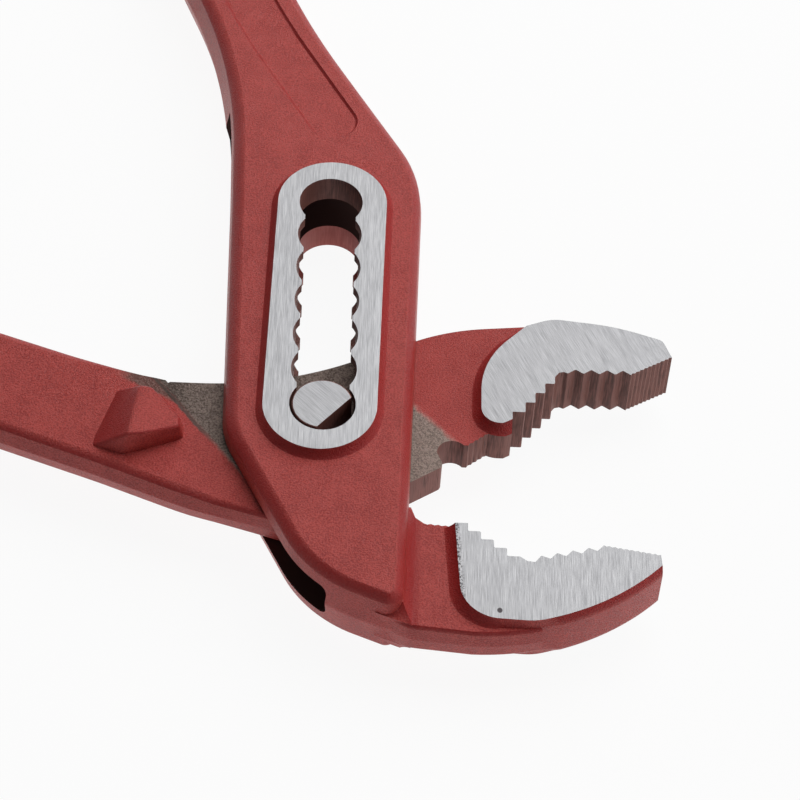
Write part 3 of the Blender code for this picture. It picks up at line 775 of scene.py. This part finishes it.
def ground_steel(name, turn, bright, stain=False):
    """Bright ground steel: grinding lines along one direction, with a few short dark drags.

    With stain, it also has the pits along the heel of the lower pad and the chip near its foot.
    """
    finish = Finish(name, metallic=1.0)
    hues = finish.hues
    lines = finish.noise(GRIND_LINES, turn, 3.0, 0.65)
    bands = finish.noise(GRIND_BANDS, turn)
    drags = finish.ramp(finish.noise(GRIND_DRAGS, turn), 0.66, 0.78)
    shine = finish.ramp(lines * 0.85 + bands * 0.15, 0.33, 0.66)
    tone = finish.mix(shine * (1 - drags * 0.35), hues.ground_dark * bright, hues.ground * bright)
    if stain:
        x, y, _ = finish.xyz()
        pits = finish.ramp(finish.noise(PIT_GRAIN, rough=0.7), 0.5, 0.56)
        heel = finish.ramp(across(x, y, PITTED_HEEL), 0.0, -0.8)
        chip_x, chip_y = (x - CHIP[0]) / CHIP_HALF[0], (y - CHIP[1]) / CHIP_HALF[1]
        chip = finish.ramp(chip_x * chip_x + chip_y * chip_y, 1.25, 0.6)
        tone = finish.mix((pits * heel).most(chip) * 0.9, tone, hues.pit)
    return finish.feed(
        base_color=tone, roughness=0.58 - shine * 0.12, normal=finish.bump(lines, GRIND_RELIEF))


def tooth_flank(name):
    """Dark tempered sides of the teeth and of the slot, streaked along Z, with painted light that makes
    facets looking towards +X lighter.
    """
    finish = Finish(name, metallic=0.2)
    hues = finish.hues
    streaks = finish.noise(FLANK_STREAKS, detail=3.0, rough=0.6)
    cloud = finish.noise(FLANK_CLOUD)
    # Painted light: facets that look towards +X are made lighter through the facing attribute
    light = finish.ramp(streaks * 0.6 + cloud * 0.12 + finish.attribute('facing') * 0.28, 0.34, 0.62)
    tone = finish.mix(light, hues.flank_dark, hues.flank)
    x, y, z = finish.xyz()
    sprayed = finish.ramp(z, 7.6, 6.2) * finish.ramp(x, 7.0, 6.0) * finish.ramp(y, 30.0, 36.0)
    tone = finish.mix(sprayed * 0.45, tone, hues.coat)
    return finish.feed(
        base_color=tone, roughness=0.62 - light * 0.12, normal=finish.bump(streaks, FLANK_RELIEF))


def dark_pocket(name):
    """Unfinished walls deep between the cheeks."""
    finish = Finish(name, specular=0.2)
    return finish.feed(base_color=(*finish.hues.pocket, 1.0), roughness=0.85)


def box_half(y, size):
    """Half thickness of the box leg: end + (cheek - end) exp(-distance past the box / taper length)."""
    past = np.maximum(y - HANDLE_TAPER_FROM, 0.0)
    fading = np.exp(-past / HANDLE_TAPER_LENGTH)
    return size.box_handle_half + (size.cheek_half - size.box_handle_half) * fading


def box_edge(outline):
    """Width of the box leg's edge along each side: broad on the left, narrow on the right."""
    along = np.roll(outline, -1, axis=0) - outline
    right = along[:, 1] / np.linalg.norm(along, axis=1)
    left_share, right_share = np.maximum(-right, 0.0) ** 2, np.maximum(right, 0.0)
    return BOX_EDGE + (BOX_EDGE_LEFT - BOX_EDGE) * left_share + (BOX_EDGE_RIGHT - BOX_EDGE) * right_share


def slot_outline(size):
    """A straight slot with a round seat at each position; the arcs meet the slot's sides."""
    reach = asin(sqrt(size.seat ** 2 - size.slot_neck_half ** 2) / size.seat)
    right, left = [], []
    for position in range(size.slot_positions):
        seat = (0.0, position * size.slot_pitch)
        first = -pi / 2 if position == 0 else -reach
        last = pi / 2 if position == size.slot_positions - 1 else reach
        right.append(arc(seat, size.seat, first, last))
        left.append(arc(seat, size.seat, pi - last, pi - first))
    left[0], left[-1] = left[0][:-1], left[-1][1:]
    return np.vstack(right + left[::-1])


def long_hole(size, radius, lean=(0.0, 0.0)):
    """Two half circles about the first and the last seat, moved along X by lean."""
    low = arc((lean[0], 0.0), radius, -pi, 0.0)
    high = arc((lean[1], size.slot_top), radius, 0.0, pi)
    return np.vstack((low, high))


def pocket_cutter(size):
    """Room between the cheeks, open at both sides.

    It ends in an arc and a slant at the handle, and in a slope with rounded edges at the jaw's root.
    """
    top = arc((0.0, size.slot_top), POCKET_SWING, 0.0, POCKET_SWING_TO)
    throat, window = np.array(POCKET_THROAT), np.array(POCKET_WINDOW)
    past = window + unit(window - throat) * PAST_WINDOW
    left, right = (-POCKET_SWING, past[1]), (POCKET_SWING, throat[1])
    outline = np.vstack((top, POCKET_LEFT, left, past, throat, right))
    on_slope = np.arange(len(outline)) == len(top) + 2
    heights, insets = round_side(size.pocket_half, POCKET_ROUND)
    return stack('pocket_cutter', outline, heights, insets * on_slope)


def panel_cutter(size):
    """A long round-ended recess that follows the handle's face, with sloping sides."""
    spine = stations(rounded(PANEL_SPINE), PANEL_STATIONS)
    way = np.gradient(spine, axis=0)
    way /= np.linalg.norm(way, axis=1)[:, None]
    aside = np.column_stack((way[:, 1], -way[:, 0])) * PANEL_RADIUS
    right, left = spine + aside, spine - aside
    tail, head = round_end(left[0], right[0]), round_end(right[-1], left[-1])
    outline = np.vstack((tail, right, head, left[::-1]))
    floor = box_half(outline[:, 1], size) - size.panel_depth
    insets = np.array(PANEL_INSETS)[:, None]
    loops = strip_loops(len(tail), PANEL_STATIONS, len(head))
    return stack('panel_cutter', outline, PANEL_LEVELS, insets, floor, loops)


def lower_teeth():
    """Edge of the lower jaw from its tip: fine triangles, coarse triangles, a hollow, square steps."""
    fine = zigzag(LOWER_TIP, LOWER_FINE_START, FINE_TEETH, FINE_DEPTH)
    coarse = np.vstack((
        [LOWER_FINE_START],
        zigzag(LOWER_FINE_START, LOWER_COARSE_START, COARSE_TEETH, TOOTH_DEPTH),
        LOWER_HOLLOW, [LOWER_STAIR_START],
        stair(LOWER_STAIR_START, LOWER_STAIR_STEP, STAIR_STEPS, False)))
    return np.vstack(([LOWER_TIP], fine[:-1], eased(coarse, TOOTH_ROUND)))


def lower_pad(size):
    """Ground part of the lower jaw: teeth in front, and a heel whose hollow fades out along its foot."""
    ends = np.array((LOWER_PAD_BACK[-1], LOWER_TIP_FOOT)) - LOWER_ARC_CENTRE
    belly = arc(LOWER_ARC_CENTRE, LOWER_ARC_RADIUS, *np.arctan2(ends[:, 1], ends[:, 0]))
    teeth, heel = lower_teeth(), rounded(LOWER_PAD_BACK)
    outline = np.vstack((teeth, heel, belly[1:]))
    middle = (outline[:, 0] + np.roll(outline[:, 0], -1)) / 2
    fade = np.clip((LOWER_PAD_DRAFT_END - middle) / LOWER_PAD_DRAFT_FADE, 0.0, 1.0)
    side = np.arange(len(outline)) - len(teeth)
    at_heel = (side >= 0) & (side < len(heel) - 1)
    at_belly = (side >= len(heel) - 1) & (side < len(heel) + len(belly) - 2)
    heights, hollow = hollow_side(size.recess_half, size.pad_half)
    rise = np.clip((np.abs(heights) - size.recess_half) / (size.pad_half - size.recess_half), 0.0, 1.0)
    swell = (rise ** 2 - 1)[:, None]
    insets = hollow * at_heel * (PAD_BACK_DRAFT + (LOWER_PAD_DRAFT - PAD_BACK_DRAFT) * fade)
    return stack('lower_pad', outline, heights, insets + swell * at_belly * LOWER_BELLY)


def lower_web(size):
    """Root of the lower jaw: a thin web with fine teeth above and a soft edge below."""
    belly = arc(LOWER_ARC_CENTRE, LOWER_WEB_RADIUS, *LOWER_WEB_ARC)
    foot = np.vstack((rounded(LOWER_WEB_FOOT)[:-1], belly))
    teeth = zigzag(LOWER_WEB_TEETH[0], LOWER_WEB_TEETH[1], STAIR_STEPS, FINE_DEPTH)
    outline = np.vstack((foot, LOWER_WEB_INSIDE, [LOWER_WEB_TEETH[0]], teeth, LOWER_WEB_THROAT))
    soft = np.zeros(len(outline))
    soft[1:len(foot) - 1] = LOWER_WEB_SOFT
    heights, insets = forged_side()
    return stack('lower_web', outline, heights, insets * soft, size.recess_half)


def root_skirt(size):
    """Hollow between the box's right side and the web, on both faces, cut off at the web's two edges.

    Its front leans back towards its top, on the upper face more than on the lower one.
    """
    heights, insets = hollow_side(size.recess_half, size.recess_half + ROOT_HOLLOW)
    on_right = np.arange(len(ROOT_SKIRT)) == 1
    in_front = np.arange(len(ROOT_SKIRT)) == 0
    lean = np.where(heights < 0, *ROOT_LEAN)[:, None]
    insets = insets * on_right * ROOT_HOLLOW + (1 + insets) * in_front * lean
    return stack('root_skirt', np.array(ROOT_SKIRT), heights, insets)


def box_leg_slots(leg, size):
    """Finish of each face: 0 coat, 1 boss, 2 pad, 3 slot and teeth, 4 inside of the pocket."""
    centres, normals = faces_of(leg)
    flat, upright = np.abs(normals[:, 2]) > FLAT_Z, np.abs(normals[:, 2]) < UPRIGHT_Z
    level = np.abs(centres[:, 2])
    jaw = centres[:, 0] > LOWER_JAW_FROM
    boss = flat & (np.abs(level - size.boss_half) < FACE_SLACK)
    pad = flat & jaw & (np.abs(level - size.pad_half) < FACE_SLACK)
    ledge = flat & (np.abs(level - SLOT_RELIEF_HALF) < WALL_SLACK)
    in_slot = (upright | ledge) & (np.abs(centres[:, 0]) < size.seat + WALL_SLACK)
    in_slot &= np.abs(centres[:, 1] - size.slot_top / 2) < size.slot_top / 2 + size.seat + WALL_SLACK
    toothed = upright & (off_path(centres, lower_teeth()) < LOWER_TOOTH_SLACK)
    ceiling = flat & (level > size.pocket_half - WALL_SLACK) & ~jaw
    end = upright & (centres[:, 1] > size.slot_top + PAST_SLOT) & (normals[:, 1] < POCKET_END_Y)
    end &= level < size.pocket_half
    wall = np.array((POCKET_THROAT, POCKET_WINDOW))
    up_slope = unit((wall[1] - wall[0])[::-1] * (1, -1))
    slope = off_path(centres, wall) < POCKET_ROUND + FACE_SLACK
    slope &= normals[:, :2] @ up_slope > POCKET_SLOPE_UP
    inside = (level < size.pocket_half + WALL_SLACK) & (ceiling | end | slope)
    slots = np.zeros(len(centres), int)
    slots[in_slot | toothed] = 3
    slots[boss] = 1
    slots[pad] = 2
    slots[inside & (centres[:, 0] < POCKET_UP_TO)] = 4
    return slots


class PLIERS_OT_box_leg(bpy.types.Operator):
    """Build the box leg: box with slot and pocket, lower jaw and handle"""
    bl_idname = "pliers.box_leg"
    bl_label = "Box leg"

    def execute(self, context):
        size = sizes()
        outline, loops = leg_outline(BOX_HEAD, BOX_HANDLE_RIGHT, BOX_HANDLE_LEFT)
        heights, insets = forged_side()
        half = box_half(outline[:, 1], size)
        leg = stack('box_leg_forging', outline, heights, insets * box_edge(outline), half, loops)
        heights, insets = hollow_side(size.cheek_half, size.boss_half)
        ends = long_hole(size, size.boss_radius, BOSS_LEAN)
        boss = stack('boss', ends, heights, insets * size.boss_skirt)
        slot = stack('slot_cutter', slot_outline(size), (-2 * size.boss_half, 2 * size.boss_half))
        relief = stack('relief_cutter', long_hole(size, SLOT_RELIEF), (-SLOT_RELIEF_HALF, SLOT_RELIEF_HALF))
        joins = (boss, lower_web(size), lower_pad(size), root_skirt(size))
        forge(leg, joins, (pocket_cutter(size), slot, relief, panel_cutter(size)))
        finishes = (
            red_coat('red_coat'), ground_steel('ground_boss', *GRIND_BOSS),
            ground_steel('ground_pad', *GRIND_PAD, stain=True), tooth_flank('flank_box'),
            dark_pocket('pocket'))
        dress(leg, 'box_leg', 'box', finishes, box_leg_slots(leg, size))
        return {'FINISHED'}


def upper_teeth():
    """Edge of the upper jaw up to its tip: square steps, a hollow, coarse triangles, fine triangles."""
    first = np.array(UPPER_STAIR_END) - np.array(UPPER_STAIR_STEP) * STAIR_STEPS
    steps = stair(first, UPPER_STAIR_STEP, STAIR_STEPS, True)
    steps[0, 0] = UPPER_PAD_HEEL[-1][0]
    coarse = np.vstack((
        steps, UPPER_HOLLOW, [UPPER_COARSE_START],
        zigzag(UPPER_COARSE_START, UPPER_FINE_START, COARSE_TEETH, TOOTH_DEPTH)))
    fine = zigzag(UPPER_FINE_START, UPPER_TIP, FINE_TEETH, FINE_DEPTH)
    return np.vstack((eased(coarse, TOOTH_ROUND), fine))


def upper_pad(size):
    """Ground part of the upper jaw: teeth below, and a heel with a hollow at its foot."""
    heel = rounded((UPPER_PAD_TOP[-1],) + UPPER_PAD_HEEL)[1:]
    crown = rounded((UPPER_TIP,) + UPPER_PAD_TOP)[1:]
    teeth = upper_teeth()
    outline = np.vstack((heel, teeth, crown))
    draft = np.zeros(len(outline))
    draft[-len(crown):] = PAD_BACK_DRAFT
    draft[:len(heel) - 1] = UPPER_PAD_DRAFT
    draft[-1] = UPPER_PAD_DRAFT
    heights, insets = hollow_side(size.neck_half, size.pad_half)
    return stack('upper_pad', outline, heights, insets * draft)


def web_teeth():
    """Fine triangles along the neck's front, between the relief and the pad."""
    return np.vstack((
        [UPPER_WEB_TEETH[0]], zigzag(UPPER_WEB_TEETH[0], UPPER_WEB_TEETH[1], STAIR_STEPS + 2, FINE_DEPTH)))


def neck(size):
    """The thin plate of the inner leg: lug, relief and fine teeth in front, and the run to the handle."""
    relief = arc(RELIEF_CENTRE, RELIEF_RADIUS, pi, RELIEF_TO)
    foot = rounded(NECK_FOOT + (tuple(relief[0]),))[:-1]
    outline = np.vstack((foot, relief, web_teeth(), rounded(NECK_TOP)))
    return stack('inner_leg_forging', outline, (-size.neck_half, size.neck_half))


def inner_handle(size):
    """Handle of the inner leg: a step up from the neck beside the box, easing into it lower down."""
    outline, loops = leg_outline(INNER_ROOT, INNER_HANDLE_TOP, INNER_HANDLE_FOOT)
    reach = outline[:, 0].max() - outline[:, 0]
    half = size.inner_root_half + (size.inner_handle_half - size.inner_root_half) * reach / reach.max()
    easing = np.clip((INNER_ROOT_SLOPE_END - outline[:, 1]) / INNER_ROOT_SLOPE, 0.0, 1.0)
    easing *= np.clip((outline[:, 0] - INNER_HANDLE_FOOT[1][0]) / INNER_ROOT_SLOPE, 0.0, 1.0)
    half += (size.neck_half + INNER_ROOT_RISE - half) * easing
    side = np.arange(len(outline))
    from_root = np.minimum(side - loops[0][-2], len(outline) - 1 - side)
    crisp = np.clip(1 - from_root / INNER_CRISP_STATIONS, 0.0, 1.0)
    edge = INNER_EDGE + (INNER_EDGE_CRISP - INNER_EDGE) * crisp
    heights, insets = forged_side()
    return stack('inner_handle', outline, heights, insets * edge, half, loops)


def guard():
    """Finger guard: the convex solid round its foot and its top, on both faces, with softened edges."""
    foot = np.array([(x, y, GUARD_FOOT_HALF) for x, y in GUARD_FOOT])
    upper = np.vstack((foot, GUARD_TOP))
    thing = solid('guard', np.vstack((upper, upper * (1, 1, -1))), [])
    form = bmesh.new()
    form.from_mesh(thing.data)
    bmesh.ops.convex_hull(form, input=form.verts)
    bmesh.ops.dissolve_limit(form, angle_limit=GUARD_FLAT, verts=form.verts, edges=form.edges)
    bmesh.ops.recalc_face_normals(form, faces=form.faces)
    bmesh.ops.bevel(
        form, geom=form.edges, offset=GUARD_BEVEL * MM, segments=GUARD_BEVEL_STEPS, profile=0.5,
        affect='EDGES', clamp_overlap=True)
    form.to_mesh(thing.data)
    form.free()
    return thing


def inner_leg_slots(leg, size):
    """Finish of each face: 0 coat and bare neck, 1 ground pad, 2 teeth and the edge of the lug."""
    centres, normals = faces_of(leg)
    flat, upright = np.abs(normals[:, 2]) > FLAT_Z, np.abs(normals[:, 2]) < UPRIGHT_Z
    pad = flat & (np.abs(np.abs(centres[:, 2]) - size.pad_half) < FACE_SLACK)
    edge = np.vstack((web_teeth(), [UPPER_PAD_HEEL[-2], UPPER_PAD_HEEL[-1]], upper_teeth()))
    lug = (centres[:, 0] > LUG_FROM) & (centres[:, 1] < LUG_UP_TO)
    toothed = upright & ((off_path(centres, edge) < UPPER_TOOTH_SLACK) | lug)
    slots = np.zeros(len(centres), int)
    slots[toothed] = 2
    slots[pad & (centres[:, 0] > UPPER_JAW_FROM)] = 1
    return slots


class PLIERS_OT_inner_leg(bpy.types.Operator):
    """Build the inner leg: upper jaw, neck, finger guard and handle"""
    bl_idname = "pliers.inner_leg"
    bl_label = "Inner leg"

    def execute(self, context):
        size = sizes()
        leg = neck(size)
        bore = stack('bore_cutter', circle(size.seat), (-size.boss_half, size.boss_half))
        forge(leg, (inner_handle(size), guard(), upper_pad(size)), (bore,))
        finishes = (
            neck_coat('neck_coat'), ground_steel('ground_jaw', *GRIND_JAW), tooth_flank('flank_jaw'))
        dress(leg, 'inner_leg', 'inner', finishes, inner_leg_slots(leg, size))
        return {'FINISHED'}


class PLIERS_OT_pivot_pin(bpy.types.Operator):
    """Build the pivot pin: round, flush with the boss, with a flat where it runs in the slot"""
    bl_idname = "pliers.pivot_pin"
    bl_label = "Pivot pin"

    def execute(self, context):
        size = sizes()
        heights, insets = round_side(size.boss_half, PIN_CHAMFER)
        pin = stack('pivot_pin_ground', circle(size.pin_radius), heights, insets)
        out = np.array((cos(PIN_FLAT_ANGLE), sin(PIN_FLAT_ANGLE)))
        side = np.array((-out[1], out[0])) * 2 * size.pin_radius
        near, far = out * size.pin_flat, out * 2 * size.pin_radius
        square = np.array((near - side, far - side, far + side, near + side))
        above = stack('flat_above', square, (PIN_ROUND_HALF, 2 * size.boss_half))
        below = stack('flat_below', square, (-2 * size.boss_half, -PIN_ROUND_HALF))
        forge(pin, (), (above, below))
        slots = np.where(np.abs(faces_of(pin)[1][:, 2]) > FLAT_Z, 0, 1)
        finishes = (ground_steel('ground_pin', *GRIND_PIN), tooth_flank('flank_pin'))
        dress(pin, 'pivot_pin', 'pin', finishes, slots)
        return {'FINISHED'}


def studio_floor():
    """A wide flat floor just under the pliers, white to the camera with the shadow kept."""
    signs = np.array(((-1, -1), (1, -1), (1, 1), (-1, 1)))
    corners = np.column_stack((signs * FLOOR_REACH, np.full(len(signs), -FLOOR_DROP)))
    mesh = bpy.data.meshes.new('floor')
    mesh.from_pydata(corners.tolist(), [], [(0, 1, 2, 3)])
    floor = bpy.data.objects.new('floor', mesh)
    bpy.context.scene.collection.objects.link(floor)
    finish = Finish('floor', specular=0.0)
    mesh.materials.append(finish.feed(base_color=(*finish.hues.floor, 1.0), roughness=0.9))
    seen = finish.ray('Camera').most(finish.ray('Glossy')).most(finish.ray('Transmission'))
    white = finish.node('ShaderNodeEmission')
    lit = Wire(finish, finish.shader.outputs[0])
    amount = FLOOR_WHITE + seen * FLOOR_WHITE_SEEN
    shown = finish.node('ShaderNodeMixShader', None, {0: amount, 1: lit, 2: white})
    finish.link(shown, 'Material Output', 'Surface')


def soft_box(name, place, aim, width, height, power):
    """A rectangular area lamp that faces a point."""
    light = bpy.data.lights.new(name, 'AREA')
    light.shape, light.size, light.size_y, light.energy = 'RECTANGLE', width, height, power
    box = bpy.data.objects.new(name, light)
    box.location = place
    box.rotation_euler = (Vector(aim) - Vector(place)).to_track_quat('-Z', 'Y').to_euler()
    bpy.context.scene.collection.objects.link(box)


class PLIERS_OT_studio(bpy.types.Operator):
    """Build the floor, the soft light and the camera"""
    bl_idname = "pliers.studio"
    bl_label = "Studio"

    def execute(self, context):
        scene, studio = context.scene, context.scene.pliers_studio
        studio_floor()
        world = bpy.data.worlds.new('studio')
        world.use_nodes = True
        world.node_tree.nodes['Background'].inputs['Color'].default_value = (1.0, 1.0, 1.0, 1.0)
        sky = Graph(world.node_tree)
        seen = sky.ray('Camera') * (1 - studio.sky) + sky.ray('Glossy') * studio.sky_mirrored
        sky.link(seen + studio.sky, 'Background', 'Strength')
        scene.world = world
        soft_box('key', *KEY_BOX, studio.key_power)
        soft_box('rim', *RIM_BOX, studio.rim_power)
        turn = Matrix.Rotation(studio.yaw, 3, 'Z') @ Matrix.Rotation(studio.tilt, 3, 'X')
        turn = turn @ Matrix.Rotation(studio.roll, 3, 'Z')
        camera = bpy.data.objects.new('camera', bpy.data.cameras.new('camera'))
        camera.data.lens = studio.lens
        camera.data.sensor_width = SENSOR_WIDTH
        camera.data.clip_start = CLIP_START
        camera.matrix_world = Matrix.Translation(
            Vector(studio.target) + turn.col[2] * studio.distance) @ turn.to_4x4()
        scene.collection.objects.link(camera)
        scene.camera = camera
        scene.view_settings.view_transform = 'Standard'
        return {'FINISHED'}


class PLIERS_PT_sidebar(bpy.types.Panel):
    """Lists the steps and the values that they read"""
    bl_label = "Water Pump Pliers"
    bl_space_type = 'VIEW_3D'
    bl_region_type = 'UI'
    bl_category = "Pliers"

    def draw(self, context):
        for step in STEPS:
            self.layout.operator(step.bl_idname)
        for name in GROUPS:
            group, box = getattr(context.scene, name), self.layout.box()
            for key in group.__annotations__:
                box.prop(group, key)


STEPS = (PLIERS_OT_box_leg, PLIERS_OT_inner_leg, PLIERS_OT_pivot_pin, PLIERS_OT_studio)
GROUPS = {'pliers_sizes': PliersSizes, 'pliers_colours': PliersColours, 'pliers_studio': PliersStudio}
CLASSES = (*GROUPS.values(), *STEPS, PLIERS_PT_sidebar)


def register():
    for cls in CLASSES:
        bpy.utils.register_class(cls)
    for name, group in GROUPS.items():
        setattr(bpy.types.Scene, name, PointerProperty(type=group))


def unregister():
    for name in GROUPS:
        delattr(bpy.types.Scene, name)
    for cls in reversed(CLASSES):
        bpy.utils.unregister_class(cls)


def main():
    register()
    bpy.ops.pliers.box_leg()
    bpy.ops.pliers.inner_leg()
    bpy.ops.pliers.pivot_pin()
    bpy.ops.pliers.studio()


if __name__ == "__main__":
    main()
